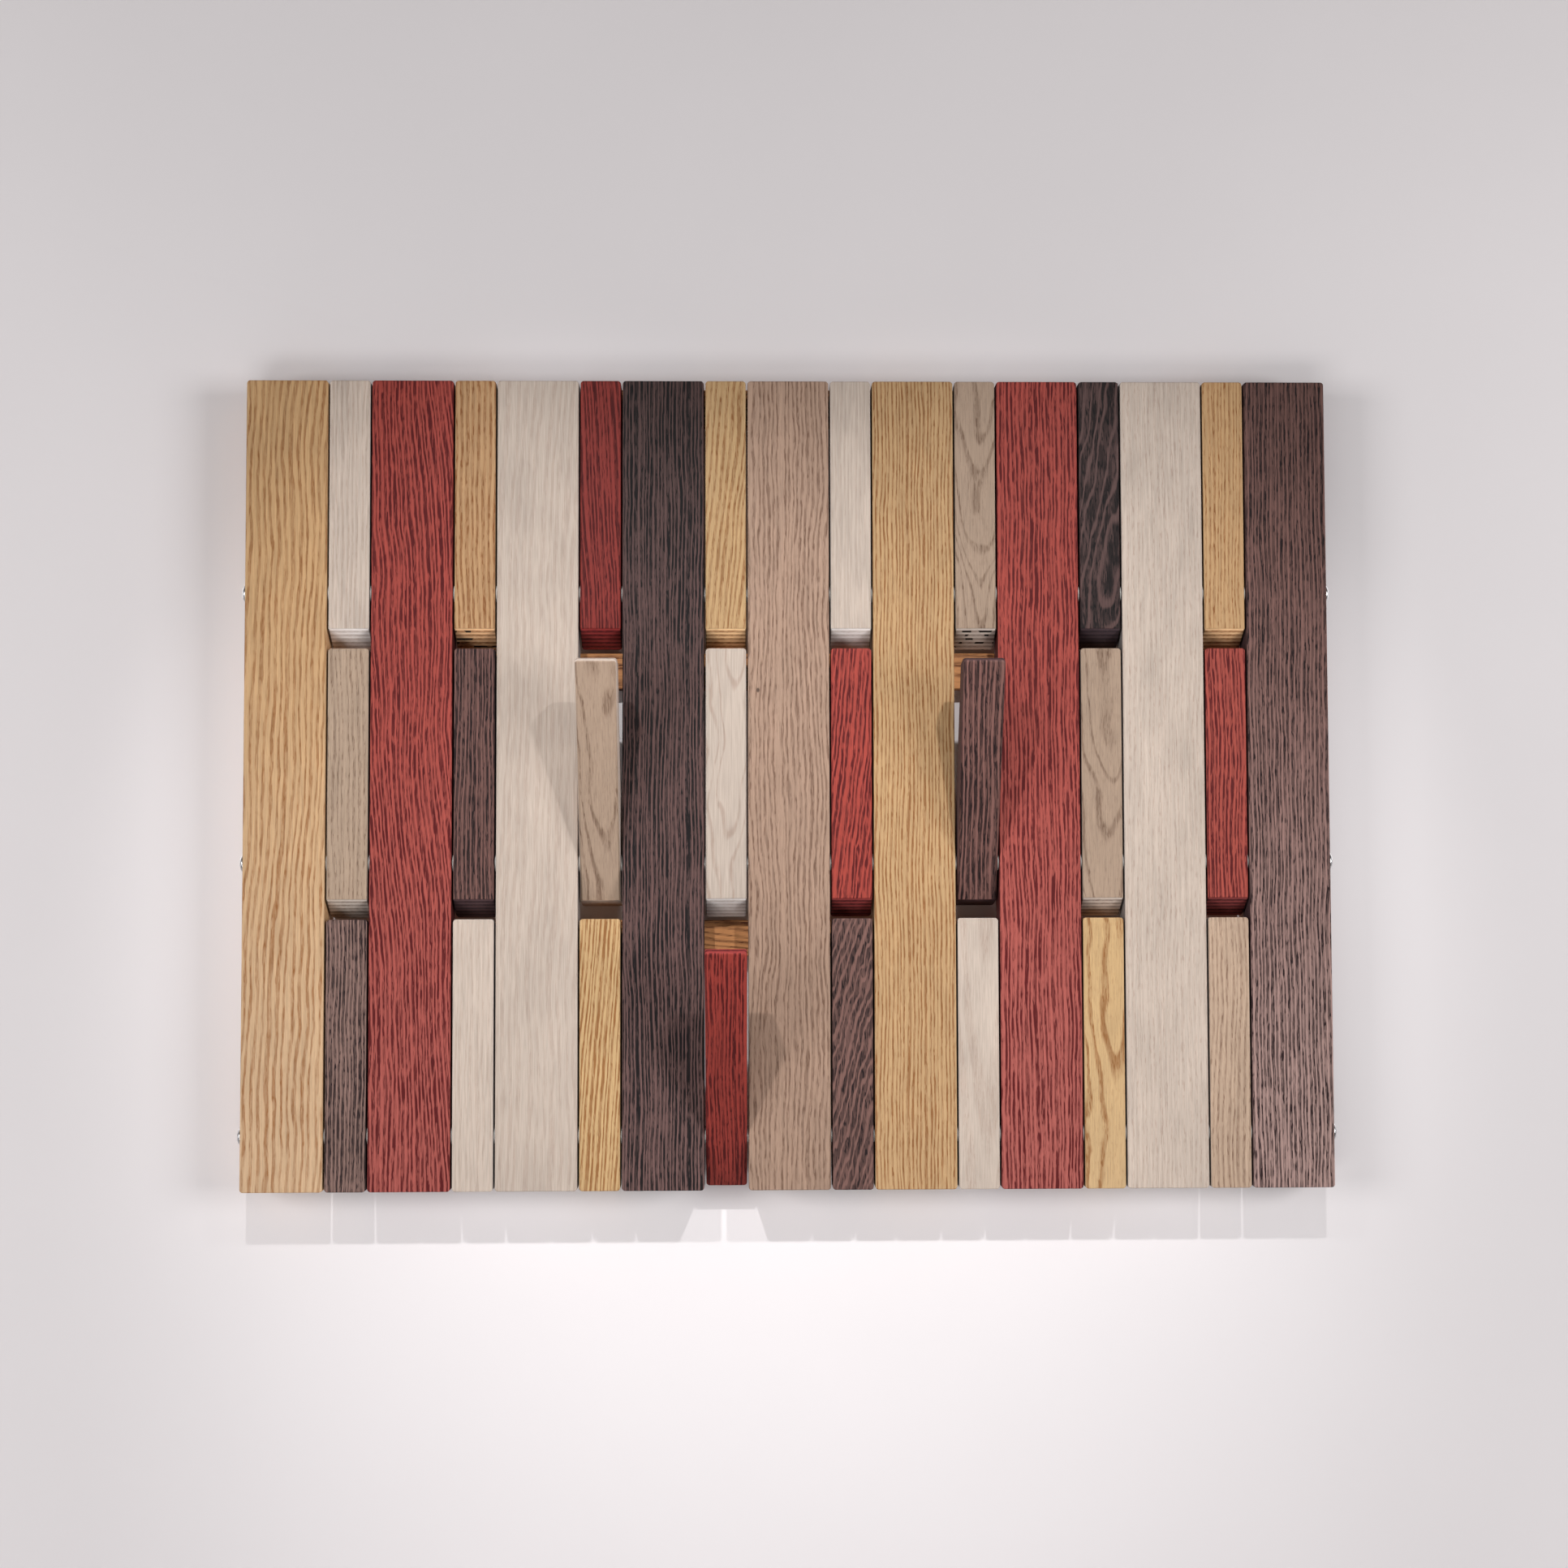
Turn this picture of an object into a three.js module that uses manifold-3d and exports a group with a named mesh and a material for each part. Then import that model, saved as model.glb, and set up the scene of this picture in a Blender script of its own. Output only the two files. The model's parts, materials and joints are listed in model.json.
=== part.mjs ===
// Wall coat rack: wide fixed slats with narrow keys between them.
// Each key tips out on an axle and becomes a hook.
// The origin is the middle of the top rail's back face, on the wall.
// X runs to the viewer's right, -Y points into the room and Z points up. Sizes are in millimetres.

import * as THREE from 'three';
import { mergeVertices } from 'three/addons/utils/BufferGeometryUtils.js';
import Module from 'manifold-3d';

const wasm = await Module();
wasm.setup();

// Slats
const SLAT_COUNT = 9;
const SLAT_WIDTH = 45;
const BOARD_THICKNESS = 18;
const CORNER_RADIUS = 1.8;
const EDGE_EASING = 0.8;

// Keys
const KEY_ROWS = ['top', 'mid', 'low'];
const KEY_WIDTH = 22.4;
const KEY_LENGTH = 148.5;
const SIDE_GAP = 1;
const ROW_GAP = 1;
const REST_GAP = 0.3;
const TOP_FLAT = 4.2;
const TOP_RELIEF_DROP = 8;
const FINGER_BEVEL_RISE = 10.3;
const HEEL_LAND = 1.5;
const HEEL_EASE = 5;
const PIVOT_HEIGHT = 30;
const PIVOT_SETBACK = 6.5;
const WALL_CLEARANCE = 0.2;
const OPEN_KEYS = ['key_mid_3', 'key_mid_6', 'key_low_4'];

// Rails
const RAIL_HEIGHT = 20;
const RAIL_THICKNESS = 10.5;
const RAIL_DROP = 1;
const RAIL_END_INSET = 5;
const RAIL_EASING = 0.5;
const SLAT_SCREW_OFFSET = 10;
const SLAT_SCREW_HEAD_RADIUS = 3.8;
const SLAT_SCREW_SHANK_RADIUS = 2;
const SLAT_SCREW_SINK = 2.4;

// Axles, with a thin washer on each side of every key
const AXLE_RADIUS = 3;
const AXLE_CLEARANCE = 0.3;
const AXLE_END_INSET = 0.4;
const WASHER_RADIUS = 6;
const WASHER_SIDE_CLEARANCE = 0.3;
const TAPPED_DEPTH = 14;

// Button-head screws in the axle ends
const BUTTON_RADIUS = 4.9;
const BUTTON_HEIGHT = 2.6;
const BUTTON_RIM = 0.5;
const BUTTON_SHANK_RADIUS = 1.8;
const BUTTON_SHANK_LENGTH = 12;
const BUTTON_SHANK_CLEARANCE = 0.2;
const HEX_ACROSS_FLATS = 3;
const HEX_DEPTH = 1.4;

// Keyhole hangers, let into the top rail and hanging down into the space behind the keys
const HANGER_COLUMNS_FROM_END = 1.5;
const PLATE_LENGTH = 40;
const PLATE_WIDTH = 16;
const PLATE_THICKNESS = 1.6;
const PLATE_CORNER = 2;
const PLATE_FIT = 0.2;
const PLATE_TOP_INSET = 1;
const ENTRY_RADIUS = 4.25;
const ENTRY_FROM_FOOT = 7.5;
const NECK_RADIUS = 2.25;
const NECK_RISE = 7;
const PLATE_SCREWS = ['upper', 'lower'];
const PLATE_SCREW_FROM_TOP = 4.5;
const PLATE_SCREW_SPACING = 9;
const PLATE_SCREW_HEAD_RADIUS = 3;
const PLATE_SCREW_SHANK_RADIUS = 1.5;
const PLATE_SCREW_LENGTH = 9;
const PLATE_SCREW_TIP = 1.5;
const PLATE_SCREW_FIT = 0.15;
const CROSS_LENGTH = 3.2;
const CROSS_WIDTH = 0.7;
const CROSS_DEPTH = 0.9;

// Facets
const EASING_STEPS = 1;
const CORNER_STEPS = 1;
const AXLE_SIDES = 8;
const BORE_SIDES = 10;
const SCREW_SIDES = 12;
const DOME_STEPS = 3;
const KEYHOLE_STEPS = 4;
const CUT_MARGIN = 1;

// Sizes that follow from the ones above
const KEY_COLUMNS = SLAT_COUNT - 1;
const COLUMN_PITCH = SLAT_WIDTH + KEY_WIDTH + 2 * SIDE_GAP;
const RACK_WIDTH = KEY_COLUMNS * COLUMN_PITCH + SLAT_WIDTH;
const ROW_PITCH = KEY_LENGTH + ROW_GAP;
const RACK_HEIGHT = KEY_ROWS.length * ROW_PITCH - ROW_GAP;
const RACK_TOP = RAIL_DROP + RAIL_HEIGHT / 2;
const SLAT_BACK = -RAIL_THICKNESS;
const KEY_THICKNESS = BOARD_THICKNESS - REST_GAP;
const KEY_FRONT = -PIVOT_SETBACK;
const KEY_BACK = KEY_THICKNESS - PIVOT_SETBACK;
const KEY_TOP = KEY_LENGTH - PIVOT_HEIGHT;
const KEY_BOTTOM = -PIVOT_HEIGHT;
const PIVOT_Y = SLAT_BACK - BOARD_THICKNESS + PIVOT_SETBACK;
const RAIL_LENGTH = RACK_WIDTH - 2 * RAIL_END_INSET;
const BORE_RADIUS = (AXLE_RADIUS + AXLE_CLEARANCE) / Math.cos(Math.PI / BORE_SIDES);
const WASHER_THICKNESS = SIDE_GAP - 2 * WASHER_SIDE_CLEARANCE;
const HANGER_X = (KEY_COLUMNS / 2 - HANGER_COLUMNS_FROM_END) * COLUMN_PITCH;
const PLATE_TOP = RAIL_HEIGHT / 2 - PLATE_TOP_INSET;
const PLATE_FOOT = PLATE_TOP - PLATE_LENGTH;
const ENTRY_HEIGHT = PLATE_FOOT + ENTRY_FROM_FOOT;
const NECK_HEIGHT = ENTRY_HEIGHT + NECK_RISE;

// Stains, from left to right, and for the keys one list for each row
const STAINS = {
  natural: { color: '#c89f68', roughness: 0.55 },
  red: { color: '#94393a', roughness: 0.55 },
  cream: { color: '#d6c8bd', roughness: 0.6 },
  espresso: { color: '#4b4041', roughness: 0.55 },
  taupe: { color: '#ab9b8c', roughness: 0.6 },
  umber: { color: '#6b5552', roughness: 0.55 },
};
const STEEL = { color: '#b9bbbd', roughness: 0.3, metalness: 1 };
const SLAT_STAINS = ['natural', 'red', 'cream', 'espresso', 'taupe', 'natural', 'red', 'cream', 'umber'];
const KEY_STAINS = {
  top: ['cream', 'natural', 'red', 'natural', 'cream', 'taupe', 'espresso', 'natural'],
  mid: ['taupe', 'umber', 'taupe', 'cream', 'red', 'umber', 'taupe', 'red'],
  low: ['umber', 'cream', 'natural', 'red', 'umber', 'cream', 'natural', 'taupe'],
};

const rack = new THREE.Group();

function addMesh(parent, name, geometry, finish) {
  const mesh = new THREE.Mesh(geometry, new THREE.MeshStandardMaterial({ ...finish, flatShading: true }));
  mesh.name = name;
  parent.add(mesh);
  return mesh;
}

// A closed geometry as a solid that can be cut and joined
function solidFrom(geometry) {
  const bare = geometry.clone();
  bare.deleteAttribute('normal');
  bare.deleteAttribute('uv');
  const merged = mergeVertices(bare);
  const vertProperties = merged.attributes.position.array;
  const triVerts = new Uint32Array(merged.index.array);
  return new wasm.Manifold(new wasm.Mesh({ numProp: 3, vertProperties, triVerts }));
}

function geometryFrom(solid) {
  const mesh = solid.getMesh();
  const geometry = new THREE.BufferGeometry();
  geometry.setAttribute('position', new THREE.BufferAttribute(new Float32Array(mesh.vertProperties), 3));
  geometry.setIndex(new THREE.BufferAttribute(new Uint32Array(mesh.triVerts), 1));
  geometry.computeVertexNormals();
  return geometry;
}

// The blank less all the cutters
function cut(blank, cutters) {
  return geometryFrom(cutters.reduce((left, cutter) => left.subtract(solidFrom(cutter)), solidFrom(blank)));
}

function roundedRectangle(width, bottom, top, radius) {
  const x = width / 2 - radius;
  const outline = new THREE.Shape();
  outline.absarc(x, bottom + radius, radius, -Math.PI / 2, 0);
  outline.absarc(x, top - radius, radius, 0, Math.PI / 2);
  outline.absarc(-x, top - radius, radius, Math.PI / 2, Math.PI);
  outline.absarc(-x, bottom + radius, radius, Math.PI, Math.PI * 1.5);
  return outline;
}

// A board that stands in the XZ plane, with its back at y = 0 and its edges eased
function board(width, bottom, top, thickness, radius, easing) {
  const geometry = new THREE.ExtrudeGeometry(roundedRectangle(width, bottom, top, radius), {
    depth: thickness - 2 * easing,
    bevelEnabled: easing > 0,
    bevelThickness: easing,
    bevelSize: easing,
    bevelOffset: -easing,
    bevelSegments: EASING_STEPS,
    curveSegments: CORNER_STEPS,
  });
  return geometry.translate(0, 0, easing).rotateX(Math.PI / 2);
}

// A side profile of [y, z] points, drawn out along X about x = 0
function profileAlongX(points, width) {
  const shape = new THREE.Shape(points.map(([y, z]) => new THREE.Vector2(y, z)));
  const geometry = new THREE.ExtrudeGeometry(shape, { depth: width, bevelEnabled: false });
  const toRackAxes = new THREE.Matrix4().makeBasis(
    new THREE.Vector3(0, 1, 0),
    new THREE.Vector3(0, 0, 1),
    new THREE.Vector3(1, 0, 0),
  );
  return geometry.translate(0, 0, -width / 2).applyMatrix4(toRackAxes);
}

function cylinderAlongX(radius, length, sides) {
  return new THREE.CylinderGeometry(radius, radius, length, sides).rotateZ(-Math.PI / 2);
}

// A turned cutter along Y, from the back face at y = 0 into the wood, with its mouth run out past the face
function holeFromBack(mouthRadius, endRadius, depth) {
  const flare = (mouthRadius - endRadius) * CUT_MARGIN / depth;
  const length = depth + CUT_MARGIN;
  const geometry = new THREE.CylinderGeometry(mouthRadius + flare, endRadius, length, BORE_SIDES);
  return geometry.translate(0, (CUT_MARGIN - depth) / 2, 0);
}

function slatX(column) {
  return (column - KEY_COLUMNS / 2) * COLUMN_PITCH;
}

function keyX(column) {
  return slatX(column) + COLUMN_PITCH / 2;
}

function rowTop(row) {
  return RACK_TOP - row * ROW_PITCH;
}

function pivotZ(row) {
  return rowTop(row) - KEY_LENGTH + PIVOT_HEIGHT;
}

// How far a key tips before its heel, a point behind and below the axle, comes to the wall
function openAngle(heelDepth, heelDrop) {
  const reach = Math.hypot(heelDepth, heelDrop);
  return Math.atan2(heelDrop, heelDepth) - Math.acos((-PIVOT_Y - WALL_CLEARANCE) / reach);
}

function slatGeometry() {
  const bottom = RACK_TOP - RACK_HEIGHT;
  const blank = board(SLAT_WIDTH, bottom, RACK_TOP, BOARD_THICKNESS, CORNER_RADIUS, EDGE_EASING)
    .translate(0, SLAT_BACK, 0);
  const boreLength = SLAT_WIDTH + 2 * CUT_MARGIN;
  const bores = KEY_ROWS.map((name, row) => cylinderAlongX(BORE_RADIUS, boreLength, BORE_SIDES)
    .translate(0, PIVOT_Y, pivotZ(row)));
  return cut(blank, bores);
}

// The slope behind a key's top end, which clears the heel of the key above
function topRelief() {
  const start = KEY_FRONT + TOP_FLAT;
  const end = KEY_BACK + CUT_MARGIN;
  const slope = TOP_RELIEF_DROP / (KEY_BACK - start);
  const above = KEY_TOP + CUT_MARGIN;
  return [[start, KEY_TOP], [end, KEY_TOP - (end - start) * slope], [end, above], [start, above]];
}

// The slope under a key's front, which leaves room for a finger above the key below
function fingerBevel() {
  const start = KEY_BACK - HEEL_LAND;
  const end = KEY_FRONT - CUT_MARGIN;
  const slope = FINGER_BEVEL_RISE / (start - KEY_FRONT);
  const below = KEY_BOTTOM - CUT_MARGIN;
  return [[start, KEY_BOTTOM], [end, KEY_BOTTOM + (start - end) * slope], [end, below], [start, below]];
}

// The eased heel of the lowest keys, which lets them tip further
function heelChamfer() {
  const back = KEY_BACK + CUT_MARGIN;
  const below = KEY_BOTTOM - CUT_MARGIN;
  const run = HEEL_EASE + CUT_MARGIN;
  return [[back, KEY_BOTTOM + run], [KEY_BACK - run, below], [back, below]];
}

// A key about its axle, which lies on the X axis
function keyGeometry(isLowest) {
  const blank = board(KEY_WIDTH, KEY_BOTTOM, KEY_TOP, KEY_THICKNESS, CORNER_RADIUS, EDGE_EASING)
    .translate(0, KEY_BACK, 0);
  const cutWidth = KEY_WIDTH + 2 * CUT_MARGIN;
  return cut(blank, [
    profileAlongX(topRelief(), cutWidth),
    profileAlongX(isLowest ? heelChamfer() : fingerBevel(), cutWidth),
    cylinderAlongX(BORE_RADIUS, cutWidth, BORE_SIDES),
  ]);
}

// The screws into the slats stand to one side of each slat's middle, and to the other side on the next rail
function slatScrewX(column, row) {
  return slatX(column) + (row % 2 === 0 ? SLAT_SCREW_OFFSET : -SLAT_SCREW_OFFSET);
}

function plateScrewZ(index) {
  return PLATE_TOP - PLATE_SCREW_FROM_TOP - index * PLATE_SCREW_SPACING;
}

// The recess for a hanger plate, open at the rail's foot, and the holes for the plate's own screws
function hangerCutters() {
  const width = PLATE_WIDTH + 2 * PLATE_FIT;
  const depth = PLATE_THICKNESS + CUT_MARGIN;
  const recess = board(width, PLATE_FOOT, PLATE_TOP + PLATE_FIT, depth, PLATE_CORNER, 0)
    .translate(0, CUT_MARGIN, 0);
  const pilotRadius = PLATE_SCREW_SHANK_RADIUS + PLATE_SCREW_FIT;
  const pilotDepth = PLATE_SCREW_LENGTH + PLATE_SCREW_FIT;
  const pilots = PLATE_SCREWS.map((name, index) => holeFromBack(pilotRadius, pilotRadius, pilotDepth)
    .translate(0, 0, plateScrewZ(index)));
  return [recess, ...pilots];
}

// A rail about its own middle height, with its back at y = 0
function railGeometry(row) {
  const edge = RAIL_HEIGHT / 2;
  const blank = board(RAIL_LENGTH, -edge, edge, RAIL_THICKNESS, RAIL_EASING, RAIL_EASING);
  const cutters = [];
  for (let column = 0; column < SLAT_COUNT; column += 1) {
    const sink = holeFromBack(SLAT_SCREW_HEAD_RADIUS, SLAT_SCREW_SHANK_RADIUS, SLAT_SCREW_SINK);
    cutters.push(sink.translate(slatScrewX(column, row), 0, 0));
  }
  if (row === 0) {
    for (const side of [-1, 1]) {
      cutters.push(...hangerCutters().map((cutter) => cutter.translate(side * HANGER_X, 0, 0)));
    }
  }
  return cut(blank, cutters);
}

// A profile of [radius, x] points, turned about the X axis
function turnedAlongX(points, sides) {
  return new THREE.LatheGeometry(points.map(([radius, x]) => new THREE.Vector2(radius, x)), sides)
    .rotateZ(-Math.PI / 2);
}

// A steel rod tapped at both ends, with a washer in each gap beside a key
function axleGeometry() {
  const half = RACK_WIDTH / 2 - AXLE_END_INSET;
  const tapped = BUTTON_SHANK_RADIUS + BUTTON_SHANK_CLEARANCE;
  const points = [
    [0, TAPPED_DEPTH - half],
    [tapped, TAPPED_DEPTH - half],
    [tapped, -half],
    [AXLE_RADIUS, -half],
  ];
  for (let column = 0; column < KEY_COLUMNS; column += 1) {
    for (const side of [-1, 1]) {
      const middle = keyX(column) + side * (KEY_WIDTH + SIDE_GAP) / 2;
      const left = middle - WASHER_THICKNESS / 2;
      const right = middle + WASHER_THICKNESS / 2;
      points.push([AXLE_RADIUS, left], [WASHER_RADIUS, left], [WASHER_RADIUS, right], [AXLE_RADIUS, right]);
    }
  }
  points.push([AXLE_RADIUS, half], [tapped, half], [tapped, half - TAPPED_DEPTH], [0, half - TAPPED_DEPTH]);
  return turnedAlongX(points, AXLE_SIDES);
}

// A button-head screw along X, its head outside x = 0 and its shank inside
function axleScrewGeometry() {
  const tip = -BUTTON_SHANK_LENGTH;
  const points = [[0, tip], [BUTTON_SHANK_RADIUS, tip], [BUTTON_SHANK_RADIUS, 0], [BUTTON_RADIUS, 0]];
  for (let step = 0; step < DOME_STEPS; step += 1) {
    const turn = step / DOME_STEPS * Math.PI / 2;
    const rise = (BUTTON_HEIGHT - BUTTON_RIM) * Math.sin(turn);
    points.push([BUTTON_RADIUS * Math.cos(turn), BUTTON_RIM + rise]);
  }
  points.push([0, BUTTON_HEIGHT]);
  const socketRadius = HEX_ACROSS_FLATS / Math.sqrt(3);
  const socket = cylinderAlongX(socketRadius, 2 * HEX_DEPTH, 6).translate(BUTTON_HEIGHT, 0, 0);
  return cut(turnedAlongX(points, SCREW_SIDES), [socket]);
}

// A round entry for the wall screw's head, with a narrow neck above it for the shank
function keyhole() {
  const spread = Math.acos(NECK_RADIUS / ENTRY_RADIUS);
  const path = new THREE.Path();
  path.absarc(0, ENTRY_HEIGHT, ENTRY_RADIUS, spread, Math.PI - spread, true);
  path.absarc(0, NECK_HEIGHT, NECK_RADIUS, Math.PI, 0, true);
  return path;
}

function hangerPlateGeometry() {
  const outline = roundedRectangle(PLATE_WIDTH, PLATE_FOOT, PLATE_TOP, PLATE_CORNER);
  outline.holes.push(keyhole());
  const plate = new THREE.ExtrudeGeometry(outline, {
    depth: PLATE_THICKNESS,
    bevelEnabled: false,
    curveSegments: KEYHOLE_STEPS,
  });
  const headRadius = PLATE_SCREW_HEAD_RADIUS + PLATE_SCREW_FIT;
  const shankRadius = PLATE_SCREW_SHANK_RADIUS + PLATE_SCREW_FIT;
  const sinkDepth = PLATE_THICKNESS + PLATE_SCREW_FIT;
  const sinks = PLATE_SCREWS.map((name, index) => holeFromBack(headRadius, shankRadius, sinkDepth)
    .translate(0, 0, plateScrewZ(index)));
  return cut(plate.rotateX(Math.PI / 2), sinks);
}

// A countersunk screw along Y, its flat head at y = 0 and its tip in the rail
function plateScrewGeometry() {
  const tip = -PLATE_SCREW_LENGTH;
  const points = [
    [0, tip],
    [PLATE_SCREW_SHANK_RADIUS, tip + PLATE_SCREW_TIP],
    [PLATE_SCREW_SHANK_RADIUS, -PLATE_THICKNESS],
    [PLATE_SCREW_HEAD_RADIUS, 0],
    [0, 0],
  ];
  const profile = points.map(([radius, y]) => new THREE.Vector2(radius, y));
  return cut(new THREE.LatheGeometry(profile, BORE_SIDES), [
    new THREE.BoxGeometry(CROSS_LENGTH, 2 * CROSS_DEPTH, CROSS_WIDTH),
    new THREE.BoxGeometry(CROSS_WIDTH, 2 * CROSS_DEPTH, CROSS_LENGTH),
  ]);
}

function addSlats() {
  const geometry = slatGeometry();
  for (let column = 0; column < SLAT_COUNT; column += 1) {
    const stain = STAINS[SLAT_STAINS[column % SLAT_STAINS.length]];
    addMesh(rack, `slat_${column + 1}`, geometry, stain).position.x = slatX(column);
  }
}

function addRails() {
  KEY_ROWS.forEach((name, row) => {
    const rail = addMesh(rack, `rail_${name}`, railGeometry(row), STAINS.natural);
    rail.position.z = rowTop(row) - RAIL_DROP - RAIL_HEIGHT / 2;
  });
}

function addAxles() {
  const rod = axleGeometry();
  const screw = axleScrewGeometry();
  KEY_ROWS.forEach((name, row) => {
    addMesh(rack, `axle_${name}`, rod, STEEL).position.set(0, PIVOT_Y, pivotZ(row));
    const right = addMesh(rack, `axle_screw_${name}_right`, screw, STEEL);
    right.position.set(RACK_WIDTH / 2, PIVOT_Y, pivotZ(row));
    const left = addMesh(rack, `axle_screw_${name}_left`, screw, STEEL);
    left.position.set(-RACK_WIDTH / 2, PIVOT_Y, pivotZ(row));
    left.rotation.z = Math.PI;
  });
}

// Each key hangs in a group that turns about its axle
function addKeys() {
  const fullHeelAngle = openAngle(KEY_BACK, PIVOT_HEIGHT);
  const easedHeelAngle = openAngle(KEY_BACK, PIVOT_HEIGHT - HEEL_EASE);
  KEY_ROWS.forEach((name, row) => {
    const isLowest = row === KEY_ROWS.length - 1;
    const geometry = keyGeometry(isLowest);
    for (let column = 0; column < KEY_COLUMNS; column += 1) {
      const pivot = new THREE.Group();
      const keyName = `key_${name}_${column + 1}`;
      pivot.position.set(keyX(column), PIVOT_Y, pivotZ(row));
      if (OPEN_KEYS.includes(keyName)) {
        pivot.rotation.x = isLowest ? easedHeelAngle : fullHeelAngle;
      }
      rack.add(pivot);
      addMesh(pivot, keyName, geometry, STAINS[KEY_STAINS[name][column % KEY_STAINS[name].length]]);
    }
  });
}

function addHangers() {
  const plate = hangerPlateGeometry();
  const screw = plateScrewGeometry();
  for (const [sideName, side] of [['left', -1], ['right', 1]]) {
    const hanger = new THREE.Group();
    hanger.position.x = side * HANGER_X;
    rack.add(hanger);
    addMesh(hanger, `hanger_plate_${sideName}`, plate, STEEL);
    PLATE_SCREWS.forEach((name, index) => {
      addMesh(hanger, `hanger_screw_${sideName}_${name}`, screw, STEEL).position.z = plateScrewZ(index);
    });
  }
}

addSlats();
addRails();
addAxles();
addKeys();
addHangers();

export default rack;
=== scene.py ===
# A wall coat rack of stained, oak-veneered boards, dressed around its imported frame.
# Sizes are in metres. X runs to the viewer's right, -Y points into the room and Z points up.

import json
import math

import bmesh
import bpy
from mathutils import Matrix, Vector


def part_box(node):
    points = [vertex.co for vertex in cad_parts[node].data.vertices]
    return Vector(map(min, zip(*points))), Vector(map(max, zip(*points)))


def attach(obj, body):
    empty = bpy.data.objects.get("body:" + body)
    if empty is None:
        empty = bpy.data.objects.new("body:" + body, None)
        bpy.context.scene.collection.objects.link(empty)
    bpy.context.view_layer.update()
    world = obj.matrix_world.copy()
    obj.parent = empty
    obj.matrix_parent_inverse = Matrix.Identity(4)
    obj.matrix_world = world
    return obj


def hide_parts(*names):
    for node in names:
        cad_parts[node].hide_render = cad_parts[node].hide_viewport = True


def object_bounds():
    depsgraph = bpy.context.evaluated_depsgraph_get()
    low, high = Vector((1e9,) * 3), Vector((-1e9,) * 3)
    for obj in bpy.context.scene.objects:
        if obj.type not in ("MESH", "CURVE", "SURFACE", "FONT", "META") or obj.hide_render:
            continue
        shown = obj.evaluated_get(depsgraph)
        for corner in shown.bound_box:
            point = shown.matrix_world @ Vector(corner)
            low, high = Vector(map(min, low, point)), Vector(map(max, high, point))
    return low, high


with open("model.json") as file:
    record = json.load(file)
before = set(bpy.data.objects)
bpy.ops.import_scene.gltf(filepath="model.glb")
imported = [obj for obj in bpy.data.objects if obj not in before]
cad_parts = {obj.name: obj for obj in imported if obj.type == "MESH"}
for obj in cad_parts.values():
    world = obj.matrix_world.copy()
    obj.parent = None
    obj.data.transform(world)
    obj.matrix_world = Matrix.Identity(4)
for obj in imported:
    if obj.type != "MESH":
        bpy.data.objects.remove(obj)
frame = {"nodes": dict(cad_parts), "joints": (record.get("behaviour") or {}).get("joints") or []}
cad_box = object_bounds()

MM = 0.001

# Boards
CORNER_RADIUS = 1.8 * MM
EDGE_EASING = 0.6 * MM
OPEN_KEY_EASING = 1.1 * MM
VENEER = 0.6 * MM
PLY = 1.4 * MM

# Keys, measured from the axle
TOP_FLAT = 4.2 * MM
TOP_RELIEF_DROP = 8 * MM
FINGER_BEVEL_RISE = 10.3 * MM
HEEL_LAND = 1.5 * MM
HEEL_EASE = 5 * MM
MID_OPEN_ANGLE = math.radians(22.4317)
LOW_OPEN_ANGLE = math.radians(28.5976)
OPEN_ANGLES = {"key_mid_3": MID_OPEN_ANGLE, "key_mid_6": MID_OPEN_ANGLE, "key_low_4": LOW_OPEN_ANGLE}

# Axles, washers and the screws in the axle ends
AXLE_RADIUS = 3 * MM
BORE_RADIUS = 3.3 * MM
AXLE_END_INSET = 0.4 * MM
AXLE_CHAMFER = 0.3 * MM
TAPPED_RADIUS = 2 * MM
TAPPED_DEPTH = 14 * MM
WASHER_RADIUS = 4.6 * MM
WASHER_BORE = 3.1 * MM
WASHER_THICKNESS = 0.7 * MM
WASHER_EASING = 0.12 * MM
BUTTON_RADIUS = 4.9 * MM
BUTTON_HEIGHT = 2.5 * MM
BUTTON_RIM = 0.5 * MM
BUTTON_SHANK_RADIUS = 1.8 * MM
BUTTON_SHANK_LENGTH = 12 * MM
HEX_ACROSS_FLATS = 3 * MM
HEX_DEPTH = 1.4 * MM
BUTTON_LEAD = 0.48 * MM
BUTTON_LEAD_RADIUS = 1.44 * MM

# Screws through the rails, and the hangers with their own screws
SLAT_SCREW_OFFSET = 10 * MM
SLAT_SCREW = {"head": 3.75 * MM, "shank": 1.95 * MM, "sink": 2.4 * MM, "length": 24 * MM, "cross": 4.4 * MM}
PLATE_SCREW = {"head": 3 * MM, "shank": 1.5 * MM, "sink": 1.6 * MM, "length": 9 * MM, "cross": 3.2 * MM}
SCREW_TIP = 2 * MM
SCREW_RIM = 0.2 * MM
SCREW_SPIN = 0.7
CROSS_WIDTH = 0.75 * MM
CROSS_DEPTH = 1 * MM
CROSS_CLEARANCE = 1 * MM
PLATE_CORNER = 2 * MM
PLATE_EASING = 0.15 * MM
ENTRY_RADIUS = 4.25 * MM
ENTRY_FROM_FOOT = 7.5 * MM
NECK_RADIUS = 2.25 * MM
NECK_RISE = 7 * MM
SINK_CLEARANCE = 0.15 * MM

ROWS = ("top", "mid", "low")
SLAT_COUNT = 9
KEY_COLUMNS = SLAT_COUNT - 1

# How finely round forms are built, and where their shading turns sharp
CORNER_STEPS = 6
EASING_STEPS = 4
DOME_STEPS = 10
ROUND_SIDES = 32
FINE_SIDES = 48
SHARP_ANGLE = math.radians(40)

# Metal, nylon and paint, as Blender's linear colours
STEEL = (0.6, 0.6, 0.61)
ZINC = (0.62, 0.61, 0.56)
NYLON = (0.66, 0.64, 0.6)
WALL_PAINT = (0.795, 0.754, 0.764)
FLOOR_PAINT = (0.74, 0.73, 0.72)

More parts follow.
